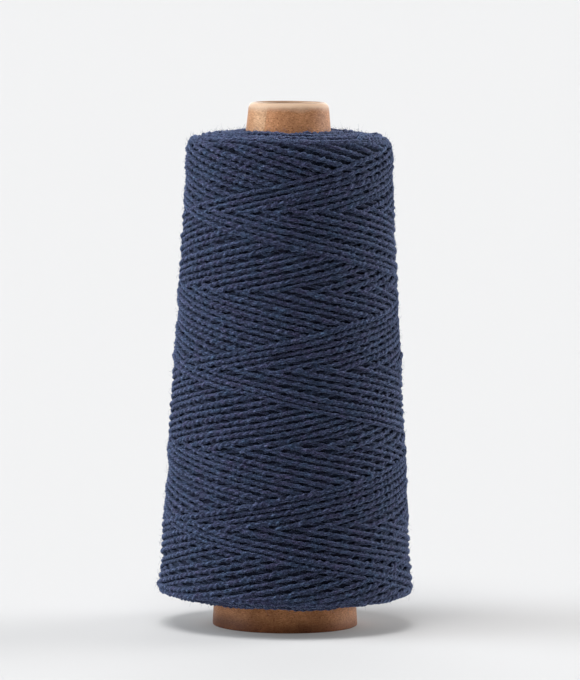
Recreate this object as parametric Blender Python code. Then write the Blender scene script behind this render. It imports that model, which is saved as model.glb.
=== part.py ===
"""Cone of thread: a tapered paper cone with slub cotton thread cross-wound on it.

Metres, +Z up. The origin is the centre of the cone's base ring, which stands on the surface.
Two pieces: the glued paper cone, open from end to end, and the winding that it carries.
"""
import math

import bmesh
import bpy

MM = 0.001

# Driving dimensions: the paper cone, a standard 3 deg 30 min textile cone.
CONE_LENGTH = 170.0 * MM
CONE_BASE_RADIUS = 23.7 * MM
CONE_HALF_ANGLE = math.radians(3.5)
CONE_WALL = 1.8 * MM

# Driving dimensions: the thread wound on it.
WINDING_WIDEST_RADIUS = 41.4 * MM
WINDING_WIDEST_HEIGHT = 13.4 * MM
WINDING_HALF_ANGLE = math.radians(3.04)
FLANK_FOOT_RADIUS = 40.6 * MM
FLANK_FOOT_HEIGHT = 18.0 * MM
WINDING_BOTTOM = 6.9 * MM
WINDING_TOP = 161.0 * MM
PIECE_GAP = 0.3 * MM

# The burnished nose: it tapers more than the cone, and its lip is rounded over into the bore.
NOSE_START = WINDING_TOP
NOSE_HALF_ANGLE = math.radians(6.6)
LIP_DROP = 2.1 * MM
LIP_TURN_IN = 2.15 * MM
EDGE_ROUND = 0.4 * MM

# The winding's ends: below, a level ring and a shallow cone that rounds up to the widest turns,
# which bulge a little beyond the straight flank; above, a rounded shoulder that runs in to the
# paper.
BOTTOM_RING_RADIUS = 30.5 * MM
BOTTOM_CORNER_RADIUS = 38.2 * MM
BOTTOM_CORNER_HEIGHT = 9.3 * MM
SHOULDER_WIDTH = 3.4 * MM
SHOULDER_DROP = 5.2 * MM
SHOULDER_RISE = 1.8 * MM

TURN_STEPS = 64
ARC_STEPS = 4

KRAFT_COLOUR = (0.50, 0.30, 0.165, 1.0)
NAVY_COLOUR = (0.026, 0.045, 0.092, 1.0)


def cone_radius(height):
    """Outer radius of the paper cone's straight flank."""
    return CONE_BASE_RADIUS - height * math.tan(CONE_HALF_ANGLE)


def winding_radius(height):
    """Outer radius of the winding's straight flank."""
    rise = height - FLANK_FOOT_HEIGHT
    return FLANK_FOOT_RADIUS - rise * math.tan(WINDING_HALF_ANGLE)


def quarter_arc(start, end, leaves_upright):
    """Points of a quarter ellipse from start to end, both (radius, height).

    It leaves start upright and meets end level, or the other way round.
    """
    points = []
    for step in range(ARC_STEPS + 1):
        turn = 0.5 * math.pi * step / ARC_STEPS
        slow = 1.0 - math.cos(turn)
        fast = math.sin(turn)
        across, along = (slow, fast) if leaves_upright else (fast, slow)
        radius = start[0] + (end[0] - start[0]) * across
        height = start[1] + (end[1] - start[1]) * along
        points.append((radius, height))
    return points


def paper_cone_profile():
    """Closed outline of the cone's wall, up the outside and down the bore."""
    nose_radius = cone_radius(NOSE_START)
    lip_height = CONE_LENGTH - LIP_DROP
    lip_radius = nose_radius - (lip_height - NOSE_START) * math.tan(NOSE_HALF_ANGLE)
    rim_radius = lip_radius - LIP_TURN_IN
    bore_top_height = CONE_LENGTH - EDGE_ROUND
    outer_foot = (CONE_BASE_RADIUS - EDGE_ROUND, 0.0)
    outer_side = (cone_radius(EDGE_ROUND), EDGE_ROUND)
    inner_foot = (CONE_BASE_RADIUS - CONE_WALL, 0.0)

    outline = quarter_arc(outer_foot, outer_side, False)
    outline.append((nose_radius, NOSE_START))
    outline.extend(quarter_arc((lip_radius, lip_height), (rim_radius, CONE_LENGTH), True))
    outline.append((rim_radius - EDGE_ROUND, bore_top_height))
    outline.append((rim_radius - EDGE_ROUND, lip_height))
    outline.append((nose_radius - CONE_WALL, NOSE_START))
    outline.append(inner_foot)
    return outline


def winding_profile():
    """Closed outline of the wound thread, up the outside and down along the paper."""
    shoulder_foot_height = WINDING_TOP - SHOULDER_RISE - SHOULDER_DROP
    shoulder_foot = (winding_radius(shoulder_foot_height), shoulder_foot_height)
    shoulder_top = (shoulder_foot[0] - SHOULDER_WIDTH, WINDING_TOP - SHOULDER_RISE)
    bottom_corner = (BOTTOM_CORNER_RADIUS, BOTTOM_CORNER_HEIGHT)
    widest = (WINDING_WIDEST_RADIUS, WINDING_WIDEST_HEIGHT)

    outline = [
        (cone_radius(WINDING_BOTTOM) + PIECE_GAP, WINDING_BOTTOM),
        (BOTTOM_RING_RADIUS, WINDING_BOTTOM),
    ]
    outline.extend(quarter_arc(bottom_corner, widest, False))
    outline.append((FLANK_FOOT_RADIUS, FLANK_FOOT_HEIGHT))
    outline.extend(quarter_arc(shoulder_foot, shoulder_top, True))
    outline.append((cone_radius(WINDING_TOP) + PIECE_GAP, WINDING_TOP))
    return outline


def turned_solid(name, outline):
    """One closed solid: the outline turned round the Z axis."""
    mesh = bpy.data.meshes.new(name)
    solid = bmesh.new()
    corners = [solid.verts.new((radius, 0.0, height)) for radius, height in outline]
    edges = []
    for index, corner in enumerate(corners):
        edges.append(solid.edges.new((corner, corners[(index + 1) % len(corners)])))
    bmesh.ops.spin(
        solid,
        geom=corners + edges,
        cent=(0.0, 0.0, 0.0),
        axis=(0.0, 0.0, 1.0),
        angle=2.0 * math.pi,
        steps=TURN_STEPS,
        use_merge=True,
    )
    bmesh.ops.recalc_face_normals(solid, faces=solid.faces)
    solid.to_mesh(mesh)
    solid.free()
    mesh.shade_smooth()
    mesh.set_sharp_from_angle(angle=math.radians(35.0))
    piece = bpy.data.objects.new(name, mesh)
    bpy.context.scene.collection.objects.link(piece)
    return piece


def plain_material(name, colour, roughness):
    """A Principled material of one colour."""
    material = bpy.data.materials.new(name)
    material.use_nodes = True
    shader = material.node_tree.nodes["Principled BSDF"]
    shader.inputs["Base Color"].default_value = colour
    shader.inputs["Roughness"].default_value = roughness
    shader.inputs["Metallic"].default_value = 0.0
    return material


def main():
    for item in list(bpy.data.objects):
        bpy.data.objects.remove(item)

    paper_cone = turned_solid("paper_cone", paper_cone_profile())
    paper_cone.data.materials.append(plain_material("kraft_paper", KRAFT_COLOUR, 0.62))

    winding = turned_solid("thread_winding", winding_profile())
    winding.data.materials.append(plain_material("navy_cotton", NAVY_COLOUR, 0.85))


main()
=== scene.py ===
"""Looks of the cone of thread: slub cotton thread cross-wound on a kraft-paper cone.

The thread is laid in the order in which a winding machine lays it. Every turn rests on what is
already wound, and the turns that can be seen are then made as twisted two-ply strands.
Lengths are in millimetres, and become metres when an object is made.
"""
import math

import bpy
import numpy as np
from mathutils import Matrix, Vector


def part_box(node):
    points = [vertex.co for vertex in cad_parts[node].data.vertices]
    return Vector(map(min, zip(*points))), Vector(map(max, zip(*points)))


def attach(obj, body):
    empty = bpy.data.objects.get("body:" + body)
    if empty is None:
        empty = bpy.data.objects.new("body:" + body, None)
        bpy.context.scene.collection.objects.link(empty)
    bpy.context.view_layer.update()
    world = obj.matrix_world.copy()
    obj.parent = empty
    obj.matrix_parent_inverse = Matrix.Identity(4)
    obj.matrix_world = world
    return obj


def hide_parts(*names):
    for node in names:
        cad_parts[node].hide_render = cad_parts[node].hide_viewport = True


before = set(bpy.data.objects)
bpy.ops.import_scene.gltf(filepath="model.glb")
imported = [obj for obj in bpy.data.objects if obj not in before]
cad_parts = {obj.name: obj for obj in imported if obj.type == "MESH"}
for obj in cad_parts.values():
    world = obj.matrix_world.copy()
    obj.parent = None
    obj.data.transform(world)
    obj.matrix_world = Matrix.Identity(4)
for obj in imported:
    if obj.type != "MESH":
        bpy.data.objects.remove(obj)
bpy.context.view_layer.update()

MM = 0.001
FAR = 1000.0
FULL_TURN = 2.0 * math.pi

# ---- sizes read from the frame
CONE_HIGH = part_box("paper_cone")[1]
WOUND_LOW, WOUND_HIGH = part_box("thread_winding")
CONE_BASE_RADIUS = CONE_HIGH.x / MM
CONE_LENGTH = CONE_HIGH.z / MM
WOUND_BOTTOM = WOUND_LOW.z / MM
WOUND_TOP = WOUND_HIGH.z / MM
WIDEST_RADIUS = WOUND_HIGH.x / MM

# ---- the paper cone
CONE_TAPER = math.tan(math.radians(3.5))
CONE_WALL = 1.8
NOSE_TAPER = math.tan(math.radians(6.6))
LIP_DROP = 2.1
LIP_TURN_IN = 2.15
EDGE_ROUND = 0.4
CONE_COLUMNS = 480
# The free edge of the outermost ply of paper: its angle at the foot, where 0 faces the camera,
# and how far it turns round the cone with each millimetre of height.
PAPER_PLY = 0.16
SEAM_FOOT_ANGLE = math.radians(-95.0)
SEAM_SLANT = math.radians(0.376)

# ---- the outline of the finished package of thread, and the core inside it
FLANK_TAPER = math.tan(math.radians(3.2))
SHOULDER_START = 154.0
SHOULDER_RADIUS = 33.2
SHOULDER_TOP = 159.2
SHOULDER_TURN_IN = 3.0
SHOULDER_BULGE = 0.45
SHOULDER_BULGE_REACH = 6.0
TOP_FALL = 1.6
TOP_FALL_RADII = (18.0, 33.0)
TOP_FALL_POWER = 1.3
FOOT_CORNER_START = 13.4
FOOT_CORNER_DROP = 4.1
FOOT_CORNER_TURN_IN = 3.2
FOOT_BULGE_REACH = 5.0
FOOT_FLAT_RADIUS = 30.5
FOOT_FACE_SLOPE = 0.30
LEAN = 0.35
CORE_DEPTH = 1.9
CORE_FOOT_DEPTH = 4.4
CORE_GAP = 0.35

# ---- the thread
# Unevenness is a share of the radius, with the millimetres of thread over which it varies. A
# ply's radius is a share of the strand's, and in each ply pitch the two plies twist once. The
# twist's drift (radians) and the plies' swell vary over a number of steps.
RANDOM_SEED = 23
STRAND_RADIUS = 0.765
UNEVENNESS = ((0.110, 30.0), (0.070, 6.0))
UNEVEN_LIMIT = 0.28
SLUB_EVERY = 110.0
SLUB_WIDTH = (6.0, 13.0)
SLUB_SWELL = (0.10, 0.42)
SLUB_LIMIT = 0.45
PLY_SHARE = 0.670
PLY_PITCH = 4.8
TWIST_DRIFT = (1.1, 45.0)
PLY_SWELL = (0.12, 7.0)
FLATTENED = 0.96
FIBRE_ROUGHNESS = 0.045
RING_POINTS = 8
SHORTEST_RINGS = 6
LONGEST_STRETCH = 2400
FREE_END_TAPER = (0.25, 0.75)
EVERY_STEP_RADIUS = 27.0
STRAND_PIECE_QUADS = 98000

# ---- the way it is wound
# A cycle is a stroke down and a stroke up. It falls a little short of whole turns, so that the
# next one lies beside it, and one pattern of cycles covers the package once.
WIND_PITCH = 50.2
WHOLE_TURNS_PER_CYCLE = 6.0
CYCLES_PER_PATTERN = 22
PATTERNS = 6
TOP_TURN_HEIGHT = 160.55
TOP_TURN_PLACE = 0.2998
MIDDLE_RADIUS = 30.0
# How far strokes lie off their places, the inner ones more, and how far they wander: in
# millimetres of height, with the number of steps over which a stroke wanders.
STROKE_SPREAD = 0.23
INNER_SPREAD = 1.4
INNER_UNTIL = (0.79, 0.83)
WANDER = ((0.17, 70.0), (0.05, 20.0))
# The ends of the strokes. Depths are measured from the package's two end faces.
END_REACH = 1.9
UPPER_REACH_DEPTHS = (14.0, 0.0)
LOWER_REACH_DEPTHS = (19.0, 4.0)
UPPER_TURN_SPREAD = (0.8, 1.2)
LOWER_TURN_SPREAD = (0.7, 0.8)
TURN_SPREAD_BIAS = 1.4
LAST_STAGE = 0.8
UPPER_FACE_EDGE = 31.2
LOWER_FACE_EDGE = 40.1
LOWER_LIFT = 2.05
TURN_SOFTNESS = 0.6
END_SHARE = 0.8
UPPER_END_DEPTHS = (3.4, 1.6)
LOWER_END_DEPTHS = (4.4, 2.4)
# The map of the wound surface: columns round the cone, and rows of height. Blurs are in steps
# of the thread, or in rows of the map.
STEPS_PER_TURN = 600
ROWS_PER_MM = 4
ROWS = 700
ROUTE_BLUR = 5.0
CONTACT_BLUR = 10.0
SLIP_BLUR = 8.0
BRIDGE_BLUR = 5.0
CALM_BLUR = 3.0
LEVEL_BLUR = 5.0
GROWTH_BLUR = 4.0
# How the thread settles on what is wound already.
SLIPS = (-0.6, -0.3, 0.0, 0.3, 0.6)
SLIP_EASE = 0.12
PRESSED_IN = 0.18
BRIDGED_STEPS = 5
OVERLAP = 60
GROWTH_LIMITS = (0.35, 1.8)
LEAST_BUILD_UP = 0.8
WOUND_OVER = 0.2
OUTLINE_SOFTNESS = 0.15
STRAND_RELIEF = 0.15
RELIEF_KEPT = 0.5
DEEP_RELIEF = 0.4
RELIEF_LIMITS = (-1.2, 0.8)
# What counts as visible.
FACE_DEPTH = 9.0
SEEN_TOLERANCE = 0.25
SEEN_MARGIN = 7
NEAR_CELLS = (3, 4)

# ---- loose fibres and lint
FIBRE_RINGS = 4
FIBRE_TURN_DEPTHS = (3.5, 0.5)
FUZZ_PIECES = 4
FUZZ_PER_PIECE = 6400
FUZZ = {"seed": 10, "tilt": 0.45, "length": (0.8, 3.2), "stand": (0.1, 1.10),
        "radius": (0.024, 0.040)}
FLECK_COUNT = 110
FLECKS = {"seed": 20, "tilt": 0.8, "length": (0.35, 1.1), "stand": (0.1, 0.35),
          "radius": (0.04, 0.075)}

# ---- colours, as pairs of a place on a colour ramp and the colour there
NAVY = ((0.34, (0.0075, 0.0100, 0.0245)), (0.50, (0.0290, 0.0395, 0.0885)),
        (0.68, (0.103, 0.132, 0.240)))
KRAFT = ((0.34, (0.40, 0.172, 0.074)), (0.50, (0.50, 0.228, 0.105)),
         (0.66, (0.61, 0.300, 0.150)))

# ---- the room
# Each soft light: the way to it, its strength, its colour, and the angles of its even middle
# and of its edge. The floor's reach is in metres.
ROOM_LIGHTS = (
    ((-0.14, -0.28, 1.0), 9.3, (1.0, 1.0, 1.0), 3.0, 24.0),
    ((-1.0, -0.08, 0.42), 6.3, (0.94, 1.0, 1.05), 5.0, 30.0),
    ((1.0, 0.42, 0.30), 7.2, (1.0, 1.0, 1.0), 5.0, 30.0),
    ((0.0, 1.0, 0.12), 6.0, (1.0, 1.0, 1.0), 5.0, 35.0),
)
ROOM_DIM = 0.05
HORIZON_COLOUR = (0.875, 0.880, 0.880)
HORIZON_RISE = (0.02, 0.06)
FLOOR_REACH = 30.0
FLOOR_COLOUR = (0.512, 0.508, 0.508)
FLOOR_GLOW = 0.10

# ---- the camera, in metres, with the height of its view at the cone
CAMERA_DISTANCE = 1.69
CAMERA_SIDE = 0.00098
CAMERA_HEIGHT = 0.2275
AIM_HEIGHT = 0.0928
VIEW_HEIGHT = 0.2199
CAMERA_ROLL = math.radians(0.434)
SENSOR = 36.0


# ======== small helpers
def ramp(value, low, high):
    """0 below low, 1 above high, and smooth between them."""
    share = np.clip((value - low) / (high - low), 0.0, 1.0)
    return share * share * (3.0 - 2.0 * share)


def blur(values, width):
    """Gaussian blur along a list of samples, width in samples."""
    reach = int(3.0 * width) + 1
    offsets = np.arange(-reach, reach + 1)
    kernel = np.exp(-0.5 * (offsets / width) ** 2)
    kernel /= kernel.sum()
    padded = np.pad(values, reach, mode="edge")
    return np.convolve(padded, kernel, mode="valid")


def smooth_noise(random, count, width):
    """Noise of unit spread that varies over about width samples."""
    knots = int(count / width) + 4
    coarse = random.normal(size=knots)
    places = np.arange(count) / width + 1.0
    index = places.astype(int)
    share = places - index
    share = share * share * (3.0 - 2.0 * share)
    return coarse[index] * (1.0 - share) + coarse[index + 1] * share


def soft_lower(values, limit, softness):
    """The lower of values and limit, with a rounded corner between them."""
    return -softness * np.logaddexp(-values / softness, -limit / softness)


def soft_upper(values, limit, softness):
    """The upper of values and limit, with a rounded corner between them."""
    return softness * np.logaddexp(values / softness, limit / softness)


def widened(mask, reach):
    """mask, grown by reach samples each way."""
    counts = np.convolve(mask.astype(np.int32), np.ones(2 * reach + 1, dtype=np.int32), "same")
    return counts > 0


def add_mesh(name, points, quads, uvs=None, depth=None):
    """A smooth mesh object from points in millimetres and quads.

    uvs hold one pair for each corner of each quad, and depth one number for each point.
    """
    mesh = bpy.data.meshes.new(name)
    mesh.vertices.add(len(points))
    mesh.vertices.foreach_set("co", (points * MM).astype(np.float32).ravel())
    mesh.loops.add(quads.size)
    mesh.loops.foreach_set("vertex_index", quads.astype(np.int32).ravel())
    mesh.polygons.add(len(quads))
    mesh.polygons.foreach_set("loop_start", np.arange(0, quads.size, 4, dtype=np.int32))
    mesh.polygons.foreach_set("use_smooth", np.ones(len(quads), dtype=bool))
    if uvs is not None:
        layer = mesh.uv_layers.new(name="along_thread")
        layer.data.foreach_set("uv", uvs.astype(np.float32).ravel())
    if depth is not None:
        layer = mesh.attributes.new(name="depth", type="FLOAT", domain="POINT")
        layer.data.foreach_set("value", depth.astype(np.float32))
    mesh.update(calc_edges=True)
    piece = bpy.data.objects.new(name, mesh)
    bpy.context.scene.collection.objects.link(piece)
    return piece


def outward_at(angle):
    """Unit directions away from the axis at angles round it, where 0 faces the camera."""
    return np.stack([np.sin(angle), -np.cos(angle), np.zeros_like(angle)], axis=1)


# ======== profiles
def cone_radius(height):
    """Outside of the paper cone's flank."""
    return CONE_BASE_RADIUS - height * CONE_TAPER


def package_radius(height):
    """Outside of the finished winding, with its rounded shoulder and foot."""
    flank = SHOULDER_RADIUS + (SHOULDER_START - height) * FLANK_TAPER
    straight_foot = SHOULDER_RADIUS + (SHOULDER_START - FOOT_CORNER_START) * FLANK_TAPER
    bulge = WIDEST_RADIUS - straight_foot
    flank = flank + bulge * np.exp(-((height - FOOT_CORNER_START) / FOOT_BULGE_REACH) ** 2)
    above = (height - SHOULDER_START) / SHOULDER_BULGE_REACH
    flank = flank + SHOULDER_BULGE * np.exp(-above ** 2)
    rise = np.clip((height - SHOULDER_START) / (SHOULDER_TOP - SHOULDER_START), 0.0, 1.0)
    drop = np.clip((FOOT_CORNER_START - height) / FOOT_CORNER_DROP, 0.0, 1.0)
    shoulder = SHOULDER_TURN_IN * (1.0 - np.sqrt(1.0 - rise ** 2))
    foot = FOOT_CORNER_TURN_IN * (1.0 - np.sqrt(1.0 - drop ** 2))
    foot_face = FOOT_FLAT_RADIUS + (height - WOUND_BOTTOM) / FOOT_FACE_SLOPE
    return np.minimum(flank - shoulder - foot, foot_face)


def near_top(height, start, full):
    """0 at this depth below the upper end face, 1 at that depth, and smooth between them."""
    return ramp(height, WOUND_TOP - start, WOUND_TOP - full)


def near_bottom(height, start, full):
    """The same above the lower end face."""
    return ramp(-height, -WOUND_BOTTOM - start, -WOUND_BOTTOM - full)


def corner_lift(radius, outer, turn_in, lift):
    """How far an end face has rounded away where it meets the flank."""
    share = np.clip((radius - (outer - turn_in)) / turn_in, 0.0, 1.0)
    return lift * (1.0 - np.sqrt(1.0 - share ** 2))


def top_face_height(radius):
    """Upper end face: level beside the paper, falling towards the rounded shoulder."""
    level = WOUND_TOP - TOP_FALL * ramp(radius, *TOP_FALL_RADII) ** TOP_FALL_POWER
    drop = SHOULDER_TOP - SHOULDER_START
    return level - corner_lift(radius, SHOULDER_RADIUS, SHOULDER_TURN_IN, drop)


def foot_face_height(radius):
    """Lower end face: level beside the paper, then rising outwards to the rounded foot."""
    level = WOUND_BOTTOM + FOOT_FACE_SLOPE * np.maximum(radius - FOOT_FLAT_RADIUS, 0.0)
    return level + corner_lift(radius, WIDEST_RADIUS, FOOT_CORNER_TURN_IN, FOOT_CORNER_DROP)


# ======== winding the thread
def thread_thickness(random, count, step_length):
    """The thread's radius along its length: uneven all over, with a slub here and there."""
    uneven = np.zeros(count)
    for share, stretch in UNEVENNESS:
        uneven += share * smooth_noise(random, count, stretch / step_length)
    uneven = np.clip(uneven, -UNEVEN_LIMIT, UNEVEN_LIMIT)
    slubs = np.zeros(count)
    for _ in range(int(count * step_length / SLUB_EVERY)):
        centre = random.integers(0, count)
        width = random.uniform(*SLUB_WIDTH) / step_length
        swell = random.uniform(*SLUB_SWELL)
        low = max(0, int(centre - 3 * width))
        high = min(count, int(centre + 3 * width))
        reach = (np.arange(low, high) - centre) / width
        slubs[low:high] += swell * np.exp(-0.5 * reach ** 2)
    return STRAND_RADIUS * (1.0 + uneven + np.minimum(slubs, SLUB_LIMIT))


def turn_spread(random, number, spread, grown):
    """How far inside its limit each end of a stroke turns, at every step."""
    share = random.uniform(0.0, 1.0, number.max() + 1) ** TURN_SPREAD_BIAS
    first, growth = spread
    return (first + growth * ramp(grown, LAST_STAGE, 1.0)) * share[number]


def thread_route(random):
    """Where the thread is led: steps round the cone, heights, and the limits of the heights."""
    turns_per_cycle = WHOLE_TURNS_PER_CYCLE - 1.0 / CYCLES_PER_PATTERN
    cycles = PATTERNS * CYCLES_PER_PATTERN
    stroke_rise = WIND_PITCH * turns_per_cycle / 2.0
    last_turn = TOP_TURN_PLACE + turns_per_cycle / 2.0
    first_step = int(round((last_turn - cycles * turns_per_cycle) * STEPS_PER_TURN))
    last_step = int(round(last_turn * STEPS_PER_TURN))
    steps = np.arange(first_step, last_step)
    count = len(steps)
    grown = np.arange(count) / count

    # The traverse is a triangle wave whose newest upper end is at TOP_TURN_PLACE.
    phase = (steps / STEPS_PER_TURN - TOP_TURN_PLACE) / turns_per_cycle
    cycle = np.floor(phase + 0.5)
    away = np.abs(phase - cycle) * 2.0
    height = TOP_TURN_HEIGHT - away * stroke_rise

    # Each stroke lies a little off its place, and wanders along its way.
    stroke = np.floor(phase * 2.0).astype(int)
    stroke -= stroke.min()
    strokes = stroke.max() + 1
    height = height + STROKE_SPREAD * random.normal(0.0, 1.0, strokes)[stroke]
    inner_spread = INNER_SPREAD * (1.0 - ramp(grown, *INNER_UNTIL))
    height += inner_spread * random.normal(0.0, 1.0, strokes)[stroke]
    for size, stretch in WANDER:
        height += size * smooth_noise(random, count, stretch)

    # The traverse waits a little at each end of its stroke, which keeps the end faces closed.
    height += END_REACH * near_top(height, *UPPER_REACH_DEPTHS)
    height -= END_REACH * near_bottom(height, *LOWER_REACH_DEPTHS)

    # Each end of a stroke turns at its own height, so that the ends don't pile up in a rim.
    upper_radius = cone_radius(WOUND_TOP) + grown * (SHOULDER_RADIUS - cone_radius(WOUND_TOP))
    lower_radius = CONE_BASE_RADIUS + grown * (WIDEST_RADIUS - CONE_BASE_RADIUS)
    upper_number = (cycle - cycle.min()).astype(int)
    lower_number = np.floor(phase).astype(int)
    lower_number -= lower_number.min()
    upper_face = top_face_height(np.minimum(upper_radius, UPPER_FACE_EDGE))
    lower_face = foot_face_height(np.minimum(lower_radius, LOWER_FACE_EDGE))
    upper_spread = turn_spread(random, upper_number, UPPER_TURN_SPREAD, grown)
    lower_spread = turn_spread(random, lower_number, LOWER_TURN_SPREAD, grown)
    upper_limit = upper_face - STRAND_RADIUS - upper_spread
    lower_limit = lower_face + LOWER_LIFT * STRAND_RADIUS + lower_spread
    height = soft_lower(height, upper_limit, TURN_SOFTNESS)
    height = soft_upper(height, lower_limit, TURN_SOFTNESS)
    return steps, blur(height, ROUTE_BLUR), lower_limit, upper_limit


def covered_rows(across, thickness, reach):
    """Rows of the map near the thread, each with where it is covered and by how much it is."""
    nearest = np.rint(across * ROWS_PER_MM).astype(int)
    for offset in range(-reach, reach + 1):
        rows = nearest + offset
        squared = thickness ** 2 - (rows / ROWS_PER_MM - across) ** 2
        yield rows, squared > 0.0, np.sqrt(np.maximum(squared, 0.0))


def contact_radius(surface, columns, height, thickness, reach):
    """Where the thread's centre comes to lie if it rests on the surface at this height."""
    radius = np.zeros(len(height))
    for rows, covered, lift in covered_rows(height, thickness, reach):
        touching = np.where(covered, surface[columns, rows] + lift, 0.0)
        radius = np.maximum(radius, touching)
    return radius


def press_on(surface, columns, height, radius, thickness, reach):
    """Raises the surface to the top of a thread that lies there."""
    for rows, covered, lift in covered_rows(height, thickness, reach):
        top = np.where(covered, radius + lift, 0.0)
        surface[columns, rows] = np.maximum(surface[columns, rows], top)


def bridged(radius):
    """A taut thread spans the hollows between the high spots under it."""
    high = radius.copy()
    for shift in range(1, BRIDGED_STEPS + 1):
        high[shift:] = np.maximum(high[shift:], radius[:-shift])
        high[:-shift] = np.maximum(high[:-shift], radius[shift:])
    return blur(high, BRIDGE_BLUR)


def seat(surface, columns, height, thickness, reach):
    """Lets the thread slip sideways into the nearest hollow. Returns its height and radius."""
    choices = []
    for slip in SLIPS:
        lying = contact_radius(surface, columns, height + slip, thickness, reach)
        choices.append(blur(lying, CONTACT_BLUR))
    choices = np.array(choices)
    weights = np.exp(-(choices - choices.min(axis=0)) / SLIP_EASE)
    slip = (weights * np.array(SLIPS)[:, None]).sum(axis=0) / weights.sum(axis=0)
    lying = height + blur(slip, SLIP_BLUR)
    radius = bridged(contact_radius(surface, columns, lying, thickness, reach))
    return lying, radius - PRESSED_IN * thickness


def calmed(rows, radius):
    """Draws each radius towards the mean of its height: the soft thread gives way at crossings."""
    index = rows.astype(int)
    total = blur(np.bincount(index, weights=radius, minlength=ROWS), CALM_BLUR)
    number = blur(np.bincount(index, minlength=ROWS).astype(float), CALM_BLUR)
    mean = (total / np.maximum(number, 0.001))[index]
    return mean + RELIEF_KEPT * (radius - mean)


def inset(outline):
    """The outline that a thread's centre may reach, so that its outside stays in the package's."""
    reach = int(STRAND_RADIUS * ROWS_PER_MM)
    padded = np.pad(outline, reach, mode="edge")
    lowest = np.full(ROWS, FAR)
    for offset in range(-reach, reach + 1):
        lift = math.sqrt(STRAND_RADIUS ** 2 - (offset / ROWS_PER_MM) ** 2)
        lowest = np.minimum(lowest, padded[reach + offset:reach + offset + ROWS] - lift)
    return lowest + 2.0 * STRAND_RELIEF


def lay_turns(surface, steps, height, thickness, limits, first, last):
    """Lays the thread from step first to step last, one turn at a time.

    Returns its settled height and radius there.
    """
    columns = steps % STEPS_PER_TURN
    reach = int(math.ceil(thickness.max() * ROWS_PER_MM))
    settled = []
    radius = []
    for start in range(first, last, STEPS_PER_TURN):
        stop = min(last, start + STEPS_PER_TURN)
        low = max(0, start - OVERLAP)
        part = slice(low, min(len(steps), stop + OVERLAP))
        own = slice(start - low, stop - low)
        lying, taut = seat(surface, columns[part], height[part], thickness[part], reach)
        lying = np.clip(lying, limits[0][part], limits[1][part])
        press_on(surface, columns[start:stop], lying[own], taut[own], thickness[start:stop],
                 reach)
        settled.append(lying[own])
        radius.append(taut[own])
    return np.concatenate(settled), np.concatenate(radius)


def brought_to_shape(settled, radius, before, after, growth):
    """Fits the build-up of one pattern between the package's outlines before and after it."""
    rows = np.clip(settled * ROWS_PER_MM, 0, ROWS - 1)
    every_row = np.arange(ROWS)
    before_here = np.interp(rows, every_row, before)
    after_here = np.interp(rows, every_row, after)
    radius = before_here + (radius - before_here) * np.interp(rows, every_row, growth)
    radius = calmed(rows, radius)

    # At the ends the turns lie side by side, each a little further out than the one before.
    beside = before_here + np.arange(len(rows)) / len(rows) * (after_here - before_here)
    at_end = near_top(settled, *UPPER_END_DEPTHS) + near_bottom(settled, *LOWER_END_DEPTHS)
    radius = radius + END_SHARE * at_end * (beside - radius)
    outline = np.interp(rows, every_row, inset(after))
    return soft_lower(radius, outline, OUTLINE_SOFTNESS)


def wind(steps, height, thickness, lower_limit, upper_limit):
    """Winds pattern on pattern. Returns the thread's settled height and radius at every step."""
    rows_height = np.arange(ROWS) / ROWS_PER_MM
    paper = cone_radius(rows_height)
    build_up = package_radius(rows_height) - STRAND_RELIEF - paper
    surface = np.tile(paper, (STEPS_PER_TURN, 1))
    radius = np.zeros(len(steps))
    settled = height.copy()
    ends = np.linspace(0, len(steps), PATTERNS + 1).astype(int)
    for pattern in range(PATTERNS):
        mine = slice(ends[pattern], ends[pattern + 1])
        laid = lay_turns(surface, steps, height, thickness, (lower_limit, upper_limit),
                         mine.start, mine.stop)
        before = paper + build_up * pattern / PATTERNS
        after = paper + build_up * (pattern + 1) / PATTERNS
        level = blur(surface.mean(axis=0), LEVEL_BLUR)
        growth = (after - before) / np.maximum(level - before, LEAST_BUILD_UP)
        growth = blur(np.clip(growth, *GROWTH_LIMITS), GROWTH_BLUR)
        settled[mine] = laid[0]
        radius[mine] = brought_to_shape(*laid, before, after, growth)

        # The next pattern rests on this one's shape, with the relief of its strands.
        kept_relief = 1.0 if pattern == PATTERNS - 2 else DEEP_RELIEF
        relief = np.clip((surface - level) * growth, *RELIEF_LIMITS)
        wound_over = surface > paper + WOUND_OVER
        surface = np.where(wound_over, after + kept_relief * relief, surface)
    return settled, radius


def leaned(steps, height, radius):
    """The winding has built up a little more on one side of the cone than on the other."""
    angle = FULL_TURN * steps / STEPS_PER_TURN
    paper = cone_radius(height)
    depth = np.clip((radius - paper) / (package_radius(height) - paper), 0.0, 1.0)
    return radius + LEAN * np.sin(angle) * depth * height / WOUND_TOP


def top_map(columns, across, up, thickness, reach):
    """Highest point of the thread over each cell of (column, across)."""
    cells = np.full((STEPS_PER_TURN, ROWS), -FAR)
    for rows, covered, lift in covered_rows(across, thickness, reach):
        np.maximum.at(cells, (columns[covered], rows[covered]), (up + lift)[covered])
    return cells


def seen(columns, across, up, thickness, reach, cells):
    """Where the thread comes close to the highest thread over the same cell."""
    shows = np.zeros(len(columns), dtype=bool)
    for rows, covered, lift in covered_rows(across, thickness, reach):
        shows |= covered & (up + lift > cells[columns, rows] - SEEN_TOLERANCE)
    return shows


def spread_high(cells):
    """The highest value within about a strand's width of each cell."""
    for axis, reach in enumerate(NEAR_CELLS):
        high = cells
        for shift in range(1, reach + 1):
            for way in (shift, -shift):
                high = np.maximum(high, np.roll(cells, way, axis))
        cells = high
    return cells


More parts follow.
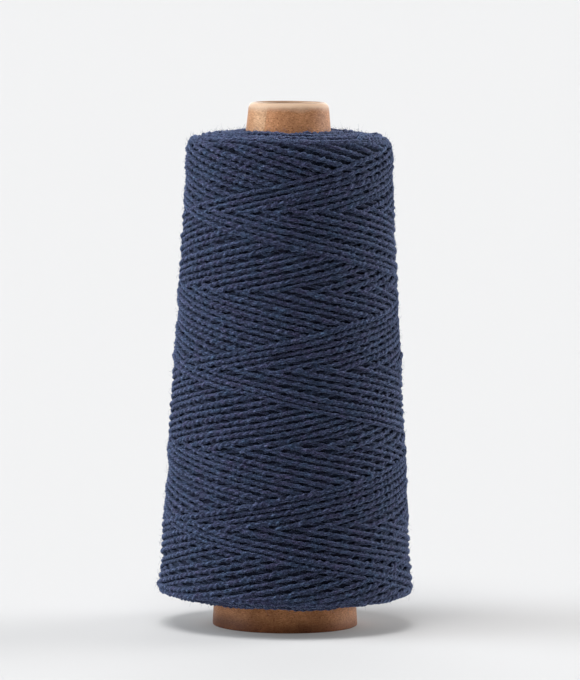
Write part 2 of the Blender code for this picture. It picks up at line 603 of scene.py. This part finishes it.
def visible_turns(steps, height, radius, thickness):
    """Marks the steps of the thread that can be seen from the flank, from above or from below.

    Also returns, for each of these three views, the height of the highest thread near each cell.
    """
    columns = steps % STEPS_PER_TURN
    reach = int(math.ceil(thickness.max() * ROWS_PER_MM))
    shows = np.zeros(len(steps), dtype=bool)
    views = (
        (height > 0.0, height, radius),
        (height > WOUND_TOP - FACE_DEPTH, radius, height),
        (height < WOUND_BOTTOM + FACE_DEPTH, radius, -height),
    )
    maps = []
    for near, across, up in views:
        chosen = np.flatnonzero(near)
        part = (columns[chosen], across[chosen], up[chosen], thickness[chosen], reach)
        cells = top_map(*part)
        shows[chosen[seen(*part, cells)]] = True
        maps.append(spread_high(cells))
    return widened(shows, SEEN_MARGIN), maps


def depth_below(maps, columns, radius, height):
    """How far points lie below the thread round them, in the view that shows them best."""
    depth = np.full(radius.shape, FAR)
    for cells, across, up in zip(maps, (height, radius, radius), (radius, height, -height)):
        rows = np.clip(np.rint(across * ROWS_PER_MM).astype(int), 0, ROWS - 1)
        top = cells[columns, rows]
        depth = np.where(top > -FAR, np.minimum(depth, top - up), depth)
    return np.maximum(depth, 0.0)


# ======== strands
def strand_rings(angle, height, radius, thickness, twist, swell, roughness):
    """Ring points of one stretch of two-ply strand, (rings, RING_POINTS, 3), and ring angles."""
    outward = outward_at(angle)
    centre = outward * radius[:, None]
    centre[:, 2] = height
    along = np.gradient(centre, axis=0)
    along /= np.linalg.norm(along, axis=1)[:, None]
    outward -= along * (outward * along).sum(axis=1)[:, None]
    outward /= np.linalg.norm(outward, axis=1)[:, None]
    upward = np.cross(outward, along)

    place = -0.5 * math.pi + FULL_TURN * np.arange(RING_POINTS) / RING_POINTS
    offset = 1.0 - PLY_SHARE
    bulk = offset * np.abs(np.cos(place)) + np.sqrt(PLY_SHARE ** 2 - (offset * np.sin(place)) ** 2)
    side = np.cos(place)
    reach = thickness[:, None] * bulk[None, :] * (1.0 + swell[:, None] * side[None, :])
    reach *= roughness
    turned = twist[:, None] + place[None, :]
    lift = FLATTENED * reach * np.cos(turned)
    points = centre[:, None, :] + lift[:, :, None] * outward[:, None, :]
    points += (reach * np.sin(turned))[:, :, None] * upward[:, None, :]
    return points, turned


def strand_quads(rings):
    """Side quads of a tube of this many rings, and the quads that close its two ends."""
    ring = np.arange(rings - 1)[:, None] * RING_POINTS
    point = np.arange(RING_POINTS)[None, :]
    following = (point + 1) % RING_POINTS
    sides = np.stack([ring + point, ring + following,
                      ring + RING_POINTS + following, ring + RING_POINTS + point], axis=2)
    sides = sides.reshape(-1, 4)
    across = np.arange(RING_POINTS // 2 - 1)
    cap = np.stack([across, RING_POINTS - 1 - across,
                    RING_POINTS - 2 - across, across + 1], axis=1)
    last = (rings - 1) * RING_POINTS
    return np.concatenate([sides, cap, last + cap[:, ::-1]])


def stretches(shows):
    """The visible stretches as (start, stop, ends), where ends say which of the two are free.

    A long stretch is cut into parts that meet at a shared ring.
    """
    edges = np.flatnonzero(np.diff(np.concatenate([[0], shows.astype(int), [0]])))
    found = []
    for first, last in zip(edges[::2], edges[1::2]):
        for start in range(first, last, LONGEST_STRETCH):
            stop = min(last, start + LONGEST_STRETCH + 1)
            found.append((start, stop, (start == first, stop == last)))
    return found


def strand_uvs(length, turned, quads):
    """Along the thread and round it, in millimetres, for each corner of each quad."""
    u = np.repeat(length, RING_POINTS)
    v = (turned * STRAND_RADIUS).ravel()
    uvs = np.stack([u[quads], v[quads]], axis=2)
    place = quads % RING_POINTS
    wraps = (place == 0) & (place[:, [1, 0, 3, 2]] == RING_POINTS - 1)
    uvs[..., 1] += np.where(wraps, FULL_TURN * STRAND_RADIUS, 0.0)
    return uvs.reshape(-1, 2)


def joined(number, parts, material):
    """One piece from the points, quads, uvs and depths of many stretches."""
    points, quads, uvs, depths = zip(*parts)
    firsts = np.cumsum([0] + [len(some) for some in points])
    quads = [some + first for some, first in zip(quads, firsts)]
    piece = add_mesh(f"thread_turns_{number:02d}", np.concatenate(points),
                     np.concatenate(quads), np.concatenate(uvs), np.concatenate(depths))
    piece.data.materials.append(material)
    return piece


def make_strands(steps, height, radius, thickness, shows, maps, material):
    """Makes the visible stretches of thread, in pieces of many turns each."""
    random = np.random.default_rng(RANDOM_SEED + 1)
    count = len(steps)
    angle = FULL_TURN * steps / STEPS_PER_TURN
    step_length = np.hypot(radius * FULL_TURN / STEPS_PER_TURN, np.gradient(height))
    length = np.cumsum(step_length)
    drift, drift_steps = TWIST_DRIFT
    twist = FULL_TURN * length / PLY_PITCH + drift * smooth_noise(random, count, drift_steps)
    share, swell_steps = PLY_SWELL
    swell = share * smooth_noise(random, count, swell_steps)
    pieces = []
    parts = []
    quads_made = 0
    for start, stop, (first_free, last_free) in stretches(shows):
        # Near the cone a step is short, so every other one is enough.
        stride = 1 if radius[start:stop].mean() > EVERY_STEP_RADIUS else 2
        index = np.arange(start, stop, stride)
        if len(index) < SHORTEST_RINGS:
            continue
        narrowing = np.ones(len(index))
        if first_free:
            narrowing[:2] = FREE_END_TAPER
        if last_free:
            narrowing[-2:] = FREE_END_TAPER[::-1]
        roughness = 1.0 + FIBRE_ROUGHNESS * random.normal(size=(len(index), RING_POINTS))
        points, turned = strand_rings(angle[index], height[index], radius[index],
                                      thickness[index] * narrowing, twist[index], swell[index],
                                      roughness)
        columns = np.repeat((steps[index] % STEPS_PER_TURN)[:, None], RING_POINTS, axis=1)
        depth = depth_below(maps, columns, np.hypot(points[..., 0], points[..., 1]),
                            points[..., 2])
        quads = strand_quads(len(index))
        if quads_made + len(quads) > STRAND_PIECE_QUADS:
            pieces.append(joined(len(pieces) + 1, parts, material))
            parts = []
            quads_made = 0
        parts.append((points.reshape(-1, 3), quads, strand_uvs(length[index], turned, quads),
                      depth.ravel()))
        quads_made += len(quads)
    pieces.append(joined(len(pieces) + 1, parts, material))
    return pieces


# ======== loose fibres
def fibre_tubes(root, lying, outward, length, stand, bend, thickness):
    """Tapered four-sided tubes, one a fibre, that leave root and arch away from it.

    lying and outward are unit directions; stand is the height of the arch above the thread.
    """
    share = np.linspace(0.0, 1.0, FIBRE_RINGS)
    sideways = np.cross(outward, lying)
    arch = np.sin(0.5 * math.pi * share ** 0.8)
    centre = root[:, None, :] + lying[:, None, :] * (length[:, None] * share)[:, :, None]
    centre += outward[:, None, :] * (stand[:, None] * arch)[:, :, None]
    centre += sideways[:, None, :] * (bend[:, None] * share ** 2)[:, :, None]
    size = thickness[:, None] * (1.0 - 0.6 * share)
    corners = []
    for across, up in ((1.0, 0.0), (0.0, 1.0), (-1.0, 0.0), (0.0, -1.0)):
        step = across * sideways + up * outward
        corners.append(centre + step[:, None, :] * size[:, :, None])
    points = np.stack(corners, axis=2).reshape(-1, 3)

    ring = 4 * np.arange(FIBRE_RINGS - 1)[:, None]
    corner = np.arange(4)[None, :]
    following = (corner + 1) % 4
    sides = np.stack([ring + following, ring + corner,
                      ring + 4 + corner, ring + 4 + following], axis=2).reshape(-1, 4)
    last = 4 * (FIBRE_RINGS - 1)
    caps = np.array([[0, 1, 2, 3], [last + 3, last + 2, last + 1, last]])
    one = np.concatenate([sides, caps])
    quads = (one[None] + 4 * FIBRE_RINGS * np.arange(len(root))[:, None, None]).reshape(-1, 4)
    return points, quads


def make_fibres(name, count, steps, height, radius, thickness, shows, look, material):
    """Loose fibres scattered over the visible thread, each leaving it at a random place."""
    random = np.random.default_rng(RANDOM_SEED + look["seed"])
    chosen = random.choice(np.flatnonzero(shows), count)
    angle = FULL_TURN * steps[chosen] / STEPS_PER_TURN
    around = np.stack([np.cos(angle), np.sin(angle), np.zeros(count)], axis=1)
    tilt = random.normal(0.0, look["tilt"], count)
    up = np.array([0.0, 0.0, 1.0])
    lying = around * np.cos(tilt)[:, None] + up[None, :] * np.sin(tilt)[:, None]
    lying *= random.choice([-1.0, 1.0], count)[:, None]

    # Towards the end faces the fibres lean away from the flank, up or down from the face.
    towards_end = near_top(height[chosen], *FIBRE_TURN_DEPTHS)
    towards_end -= near_bottom(height[chosen], *FIBRE_TURN_DEPTHS)
    outward = outward_at(angle) * np.cos(towards_end)[:, None]
    outward += up[None, :] * np.sin(towards_end)[:, None]

    # Each is rooted on the strand's outer side, and arches over it.
    place = random.uniform(-0.8, 0.8, count)
    side = np.cross(outward, around)
    reach = thickness[chosen]
    root = outward_at(angle) * radius[chosen][:, None]
    root[:, 2] = height[chosen]
    root += outward * (0.85 * FLATTENED * reach * np.cos(place))[:, None]
    root += side * (reach * np.sin(place))[:, None]
    length = random.uniform(*look["length"], count)
    stand = random.uniform(*look["stand"], count) ** 2
    bend = random.normal(0.0, 0.25, count) * length
    radius_of_fibre = random.uniform(*look["radius"], count)
    points, quads = fibre_tubes(root, lying, outward, length, stand, bend, radius_of_fibre)
    piece = add_mesh(name, points, quads)
    piece.data.materials.append(material)
    return piece


# ======== turned pieces
def turned_mesh(name, outline, columns, extra_radius=0.0):
    """A closed outline of (radius, height) turned round the axis.

    extra_radius is added to the outline's, and may hold a value for each column and row.
    """
    outline = np.array(outline)
    rows = len(outline)
    angle = FULL_TURN * np.arange(columns) / columns
    radius = np.repeat(outline[None, :, 0], columns, axis=0) + extra_radius
    points = np.stack([radius * np.sin(angle)[:, None], -radius * np.cos(angle)[:, None],
                       np.repeat(outline[None, :, 1], columns, axis=0)], axis=2)
    column = np.arange(columns)[:, None]
    row = np.arange(rows)[None, :]
    next_column = (column + 1) % columns
    next_row = (row + 1) % rows
    quads = np.stack([column * rows + row, next_column * rows + row,
                      next_column * rows + next_row, column * rows + next_row], axis=2)
    return add_mesh(name, points.reshape(-1, 3), quads.reshape(-1, 4))


def make_winding_core(material):
    """The mass of inner turns, a little below the strands that show; its material makes it darker,
    which is painted shade.
    """
    foot_height = WOUND_BOTTOM + CORE_FOOT_DEPTH
    top_height = WOUND_TOP - CORE_DEPTH
    outline = [(cone_radius(foot_height) + CORE_GAP, foot_height),
               (FOOT_FLAT_RADIUS, foot_height),
               (WIDEST_RADIUS - 3.4, FOOT_CORNER_START)]
    for height in np.linspace(FOOT_CORNER_START + 2.0, SHOULDER_START, 12):
        outline.append((float(package_radius(height)) - CORE_DEPTH, height))
    outline.append((SHOULDER_RADIUS - CORE_DEPTH - 2.0, top_height - 1.9))
    outline.append((cone_radius(top_height) + CORE_GAP, top_height))
    core = turned_mesh("winding_core", outline, 96)
    core.data.materials.append(material)
    return core


def arc(start, end, steps, leaves_upright):
    """Points of a quarter ellipse between two (radius, height) points."""
    points = []
    for step in range(steps + 1):
        turn = 0.5 * math.pi * step / steps
        slow, fast = 1.0 - math.cos(turn), math.sin(turn)
        across, upward = (slow, fast) if leaves_upright else (fast, slow)
        points.append((start[0] + (end[0] - start[0]) * across,
                       start[1] + (end[1] - start[1]) * upward))
    return points


def paper_cone_outline():
    """Up the outside, over the rounded lip and down the bore to the layered base edge.

    Returns the outline and the number of its points that lie on the outside.
    """
    nose_radius = cone_radius(WOUND_TOP)
    lip_height = CONE_LENGTH - LIP_DROP
    lip_radius = nose_radius - (lip_height - WOUND_TOP) * NOSE_TAPER
    rim_radius = lip_radius - LIP_TURN_IN
    outline = arc((CONE_BASE_RADIUS - EDGE_ROUND, 0.0),
                  (cone_radius(EDGE_ROUND), EDGE_ROUND), 5, False)
    for height in np.linspace(2.0, WOUND_TOP - 2.0, 40):
        outline.append((cone_radius(height), height))
    for height in np.linspace(WOUND_TOP, lip_height, 12)[:-1]:
        outline.append((nose_radius - (height - WOUND_TOP) * NOSE_TAPER, height))
    outline += arc((lip_radius, lip_height), (rim_radius, CONE_LENGTH), 12, True)
    outside_rows = len(outline)
    bore_radius = rim_radius - EDGE_ROUND
    outline += arc((rim_radius - 0.05, CONE_LENGTH - 0.01),
                   (bore_radius, CONE_LENGTH - EDGE_ROUND), 4, False)
    outline.append((bore_radius, lip_height))
    for share in np.linspace(0.0, 1.0, 30):
        height = WOUND_TOP * (1.0 - share)
        outline.append((cone_radius(height) - CONE_WALL, height))
    plies = int((CONE_WALL - EDGE_ROUND) / PAPER_PLY)
    foot_radius = CONE_BASE_RADIUS - CONE_WALL
    for ply in range(plies):
        radius = foot_radius + (ply + 0.5) * PAPER_PLY
        outline.append((radius - 0.02, 0.0))
        outline.append((radius, 0.07))
        outline.append((radius + 0.02, 0.0))
    return outline, outside_rows


def make_paper_cone(material):
    """The cone, with the step along the free edge of its outermost ply."""
    outline, outside_rows = paper_cone_outline()
    angle = FULL_TURN * np.arange(CONE_COLUMNS) / CONE_COLUMNS
    height = np.array(outline)[:, 1]
    seam = SEAM_FOOT_ANGLE + SEAM_SLANT * height
    past_seam = ((angle[:, None] - seam[None, :]) / FULL_TURN) % 1.0
    step = PAPER_PLY * (past_seam - 1.0) * (1.0 - ramp(height, WOUND_TOP, CONE_LENGTH - 2.0))
    step[:, outside_rows:] = 0.0
    cone = turned_mesh("paper_cone_shell", outline, CONE_COLUMNS, step)
    cone.data.materials.append(material)
    return cone


# ======== materials
class Nodes:
    """Adds and links the nodes of one material, or of the world."""

    def __init__(self, block, shader="Principled BSDF"):
        block.use_nodes = True
        self.block = block
        self.tree = block.node_tree
        self.shader = self.tree.nodes[shader]

    def set(self, node, key, value):
        """Links an output to an input, or sets the input's value. A colour is three numbers."""
        socket = node.inputs[key]
        if isinstance(value, bpy.types.NodeSocket):
            self.tree.links.new(value, socket)
        elif socket.type == "RGBA":
            socket.default_value = (*value, 1.0)
        else:
            socket.default_value = value

    def set_all(self, node, inputs):
        """Sets inputs by name, with _ for each space."""
        for key, value in inputs.items():
            self.set(node, key.replace("_", " "), value)

    def add(self, kind, settings=None, **inputs):
        """A node with these settings; an input is a value or another node's output."""
        node = self.tree.nodes.new(kind)
        for key, value in (settings or {}).items():
            setattr(node, key, value)
        self.set_all(node, inputs)
        return node

    def surface(self, **inputs):
        """Sets inputs of the shader."""
        self.set_all(self.shader, inputs)

    def noise(self, place, scale, detail, roughness):
        """Noise between 0 and 1 at each place."""
        node = self.add("ShaderNodeTexNoise", Vector=place, Scale=scale, Detail=detail,
                        Roughness=roughness)
        return node.outputs["Fac"]

    def stretched(self, place, scale):
        """Places scaled by a number for each axis."""
        return self.add("ShaderNodeMapping", Vector=place, Scale=scale).outputs["Vector"]

    def colours(self, factor, stops):
        """A colour ramp over factor, from (place, colour) pairs."""
        node = self.add("ShaderNodeValToRGB", Fac=factor)
        elements = node.color_ramp.elements
        while len(elements) < len(stops):
            elements.new(0.5)
        for element, (place, colour) in zip(elements, stops):
            element.position = place
            element.color = (*colour, 1.0)
        return node.outputs["Color"]

    def maths(self, operation, *values, kind="ShaderNodeMath", output="Value"):
        """The result of one sum, of numbers or of vectors."""
        node = self.add(kind, {"operation": operation})
        for index, value in enumerate(values):
            self.set(node, index, value)
        return node.outputs[output]

    def between(self, value, start, end):
        """0 at start and 1 at end, smooth between them and level beyond them."""
        node = self.add("ShaderNodeMapRange", {"interpolation_type": "SMOOTHSTEP"},
                        Value=value, From_Min=start, From_Max=end)
        return node.outputs["Result"]

    def mix(self, blend, factor, first, second):
        """Mixes two colours."""
        node = self.add("ShaderNodeMix", {"data_type": "RGBA", "blend_type": blend})
        for index, value in ((0, factor), (6, first), (7, second)):
            self.set(node, index, value)
        return node.outputs[2]

    def bump(self, height, strength, distance):
        """Roughens the surface."""
        node = self.add("ShaderNodeBump", Height=height, Strength=strength, Distance=distance)
        self.surface(Normal=node.outputs["Normal"])


def cotton_material(name, shade, with_depth_shade):
    """Navy cotton: fibres along the thread, dye that varies, and a soft sheen of loose fibre.

    It can also paint shade: the thread then darkens with its depth below the turns round it, and
    is a little paler at their tops.
    A shade below 1 gives a darker copy of the cotton, which is painted shade too.
    """
    nodes = Nodes(bpy.data.materials.new(name))
    place = nodes.add("ShaderNodeTexCoord").outputs["Object"]
    along = nodes.add("ShaderNodeUVMap", {"uv_map": "along_thread"}).outputs["UV"]
    fibres = nodes.noise(nodes.stretched(along, (0.45, 2.6, 1.0)), 1.0, 3.0, 0.6)
    tufts = nodes.noise(place, 1700.0, 2.0, 0.6)
    dye = nodes.noise(place, 240.0, 3.0, 0.55)
    # A shade below 1 gives a darker copy of the cotton: painted shade.
    navy = [(at, tuple(value * shade for value in colour)) for at, colour in NAVY]
    dye_colour = nodes.colours(dye, [(0.32, (1.01, 0.75, 0.82)), (0.68, (0.80, 1.02, 0.97))])
    tuft_colour = nodes.colours(tufts, [(0.36, (0.38, 0.39, 0.43)), (0.50, (0.86, 0.86, 0.88)),
                                        (0.64, (1.90, 1.85, 1.75))])
    colour = nodes.mix("MULTIPLY", 1.0, nodes.colours(fibres, navy), dye_colour)
    colour = nodes.mix("MULTIPLY", 1.0, colour, tuft_colour)
    if with_depth_shade:
        # Painted shade: darker with depth below the turns round it, and a little paler at their
        # very tops.
        depth = nodes.add("ShaderNodeAttribute", {"attribute_name": "depth"}).outputs["Fac"]
        painted_depth_shade = nodes.colours(nodes.maths("MULTIPLY", depth, 0.5),
                                     [(0.08, (1.10, 1.10, 1.09)), (0.30, (0.78, 0.79, 0.81)),
                                      (0.50, (0.52, 0.54, 0.58)), (0.85, (0.36, 0.37, 0.41))])
        colour = nodes.mix("MULTIPLY", 1.0, colour, painted_depth_shade)
    nodes.surface(Base_Color=colour, Roughness=0.88, Specular_IOR_Level=0.2)
    nodes.surface(Sheen_Weight=0.5, Sheen_Roughness=0.45, Sheen_Tint=(0.45, 0.58, 0.95))
    nodes.bump(fibres, 0.7, 0.12 * MM)
    return nodes.block


def fibre_material(name, colour):
    """One loose fibre's colour, a little darker here and there."""
    nodes = Nodes(bpy.data.materials.new(name))
    place = nodes.add("ShaderNodeTexCoord").outputs["Object"]
    dye = nodes.noise(place, 400.0, 2.0, 0.5)
    dull = tuple(0.6 * value for value in colour)
    nodes.surface(Base_Color=nodes.colours(dye, [(0.3, dull), (0.7, colour)]),
                  Roughness=0.8, Specular_IOR_Level=0.3)
    return nodes.block


def painted_side_highlight(nodes, place):
    """Painted highlight: a pale band on the cone's lit left side, which ends at the free edge of
    its outermost ply.
    """
    front = nodes.maths("MULTIPLY", place["Y"], -1.0)
    angle = nodes.maths("ARCTAN2", place["X"], front)
    seam = nodes.maths("MULTIPLY_ADD", place["Z"], SEAM_SLANT / MM, SEAM_FOOT_ANGLE)
    turns = nodes.maths("DIVIDE", nodes.maths("SUBTRACT", angle, seam), FULL_TURN)
    # Painted highlight, in a band just before the ply's free edge on the lit left side.
    return nodes.colours(nodes.maths("FRACT", turns),
                         [(0.0, (1.06, 1.10, 1.15)), (0.015, (1.0, 1.0, 1.0)),
                          (0.86, (1.0, 1.0, 1.0)), (0.96, (1.16, 1.44, 1.7))])


def painted_lip_highlight(nodes, place, colour, clouds):
    """Painted highlight: the cone's rounded lip is paler, down to an uneven border. Its rim is a
    thin darker line.
    """
    uneven = nodes.maths("MULTIPLY_ADD", clouds, 3.0 * MM, -1.5 * MM)
    raised = nodes.maths("ADD", place["Z"], uneven)
    # Painted highlight on the lip.
    lip = nodes.between(raised, (CONE_LENGTH - 3.3) * MM, (CONE_LENGTH - 1.0) * MM)
    colour = nodes.mix("MIX", nodes.maths("MULTIPLY", lip, 0.80), colour, (0.645, 0.465, 0.330))
    rim = nodes.between(place["Z"], (CONE_LENGTH - 0.35) * MM, (CONE_LENGTH - 0.05) * MM)
    return nodes.mix("MULTIPLY", rim, colour, (0.52, 0.46, 0.40))


def painted_foot_shade(nodes, place, colour):
    """Painted shade: the cone's foot darkens towards the floor, and more so on its left side.
    Above the foot the base is a little warmer in tone.
    """
    base = nodes.between(place["Z"], 14.0 * MM, 7.0 * MM)
    colour = nodes.mix("MULTIPLY", base, colour, (1.06, 0.99, 0.88))
    # Painted shade at the foot, deeper on its left side.
    foot = nodes.between(place["Z"], 6.0 * MM, 0.0)
    foot_shaded = nodes.mix("MULTIPLY", foot, colour, (0.40, 0.30, 0.22))
    more_foot = nodes.between(place["Z"], 7.0 * MM, 1.5 * MM)
    deeper_foot_shade = nodes.mix("MULTIPLY", more_foot, colour, (0.25, 0.18, 0.13))
    one_side = nodes.between(place["X"], -2.0 * MM, -16.0 * MM)
    return nodes.mix("MIX", one_side, foot_shaded, deeper_foot_shade)


def kraft_material():
    """Kraft paper: mottled brown fibres and dark and pale specks, with painted highlights on its
    lip and left side and painted shade at its foot.
    """
    nodes = Nodes(bpy.data.materials.new("kraft_paper"))
    whole = nodes.add("ShaderNodeTexCoord").outputs["Object"]
    place = nodes.add("ShaderNodeSeparateXYZ", Vector=whole).outputs
    fibres = nodes.noise(nodes.stretched(whole, (0.55, 0.55, 1.5)), 1900.0, 4.0, 0.6)
    clouds = nodes.noise(whole, 150.0, 4.0, 0.6)
    specks = nodes.noise(whole, 2100.0, 1.0, 0.5)
    cloud_colour = nodes.colours(clouds, [(0.3, (0.76, 0.71, 0.65)), (0.5, (0.98, 0.97, 0.95)),
                                          (0.7, (1.18, 1.20, 1.20))])
    speck_colour = nodes.colours(specks, [(0.30, (0.60, 0.52, 0.46)), (0.38, (1.0, 1.0, 1.0)),
                                          (0.64, (1.0, 1.0, 1.0)), (0.72, (1.30, 1.35, 1.42))])
    colour = nodes.mix("MULTIPLY", 1.0, nodes.colours(fibres, KRAFT), cloud_colour)
    colour = nodes.mix("MULTIPLY", 1.0, colour, speck_colour)
    colour = nodes.mix("MULTIPLY", 1.0, colour, painted_side_highlight(nodes, place))
    colour = painted_lip_highlight(nodes, place, colour, clouds)
    colour = painted_foot_shade(nodes, place, colour)
    nodes.surface(Base_Color=colour, Roughness=0.50, Specular_IOR_Level=0.22)
    nodes.bump(fibres, 0.5, 0.06 * MM)
    return nodes.block


# ======== studio
def make_camera():
    """A long lens, a little above the object's middle."""
    camera_data = bpy.data.cameras.new("camera")
    camera_data.sensor_width = SENSOR
    camera_data.lens = SENSOR * CAMERA_DISTANCE / VIEW_HEIGHT
    camera_data.clip_end = 100.0
    camera = bpy.data.objects.new("camera", camera_data)
    bpy.context.scene.collection.objects.link(camera)
    camera.location = (CAMERA_SIDE, -CAMERA_DISTANCE, CAMERA_HEIGHT)
    direction = Vector((CAMERA_SIDE, 0.0, AIM_HEIGHT)) - camera.location
    camera.rotation_euler = direction.to_track_quat("-Z", "Y").to_euler()
    camera.rotation_euler.rotate_axis("Z", CAMERA_ROLL)
    bpy.context.scene.camera = camera


def light_the_room():
    """Soft light from above, and from pale walls at the left, at the right and at the back."""
    world = bpy.data.worlds.new("studio")
    bpy.context.scene.world = world
    nodes = Nodes(world, "Background")
    direction = nodes.add("ShaderNodeTexCoord").outputs["Generated"]
    total = nodes.add("ShaderNodeCombineXYZ", X=ROOM_DIM, Y=ROOM_DIM, Z=ROOM_DIM).outputs[0]
    for facing, strength, colour, inner, outer in ROOM_LIGHTS:
        closeness = nodes.maths("DOT_PRODUCT", direction, Vector(facing).normalized(),
                                kind="ShaderNodeVectorMath")
        edge, middle = (math.cos(math.radians(angle)) for angle in (outer, inner))
        total = nodes.maths("MULTIPLY_ADD", nodes.between(closeness, edge, middle),
                            strength * Vector(colour), total,
                            kind="ShaderNodeVectorMath", output="Vector")

    # Just above the floor's far edge the room is as pale as the floor.
    upward = nodes.add("ShaderNodeSeparateXYZ", Vector=direction).outputs["Z"]
    rise = nodes.between(upward, *HORIZON_RISE)
    nodes.surface(Color=nodes.mix("MIX", rise, HORIZON_COLOUR, total))


def make_floor():
    """A wide, pale and matt floor that glows a little, which thins the shadows on it."""
    mesh = bpy.data.meshes.new("studio_floor")
    corners = [(x * FLOOR_REACH, y * FLOOR_REACH, 0.0)
               for x, y in ((-1.0, -1.0), (1.0, -1.0), (1.0, 1.0), (-1.0, 1.0))]
    mesh.from_pydata(corners, [], [(0, 1, 2, 3)])
    floor = bpy.data.objects.new("studio_floor", mesh)
    bpy.context.scene.collection.objects.link(floor)
    nodes = Nodes(bpy.data.materials.new("studio_floor"))
    nodes.surface(Base_Color=FLOOR_COLOUR, Roughness=0.9, Specular_IOR_Level=0.0,
                  Emission_Color=(1.0, 1.0, 1.0), Emission_Strength=FLOOR_GLOW)
    mesh.materials.append(nodes.block)


# ======== the whole scene
def make_winding():
    """The thread, its loose fibres and lint, and the core under them."""
    random = np.random.default_rng(RANDOM_SEED)
    steps, height, lower_limit, upper_limit = thread_route(random)
    thickness = thread_thickness(random, len(steps), FULL_TURN * MIDDLE_RADIUS / STEPS_PER_TURN)
    height, radius = wind(steps, height, thickness, lower_limit, upper_limit)
    radius = leaned(steps, height, radius)
    shows, maps = visible_turns(steps, height, radius, thickness)
    thread = (steps, height, radius, thickness, shows)

    cotton = cotton_material("navy_cotton", 1.0, True)
    # The inner turns get the same cotton at half brightness: painted shade for the gaps between
    # the strands that show.
    shaded_inner_cotton = cotton_material("navy_cotton_inside", 0.5, False)
    # Loose fibres are paler than the thread's middle tone: painted sheen, for the light they
    # catch.
    loose_cotton_painted_sheen = fibre_material("loose_navy_fibre", (0.120, 0.155, 0.265))
    lint = fibre_material("pale_lint", (0.42, 0.46, 0.52))
    pieces = make_strands(*thread, maps, cotton)
    for number in range(FUZZ_PIECES):
        look = dict(FUZZ, seed=FUZZ["seed"] + number)
        pieces.append(make_fibres(f"fibre_fuzz_{number + 1:02d}", FUZZ_PER_PIECE, *thread, look,
                                  loose_cotton_painted_sheen))
    pieces.append(make_fibres("lint_flecks", FLECK_COUNT, *thread, FLECKS, lint))
    pieces.append(make_winding_core(shaded_inner_cotton))
    return pieces


def main():
    make_camera()
    make_floor()
    light_the_room()
    bpy.context.scene.view_settings.view_transform = "Standard"

    for piece in make_winding():
        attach(piece, "root")
        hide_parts("thread_winding")
    cone = make_paper_cone(kraft_material())
    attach(cone, "root")
    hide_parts("paper_cone")


main()
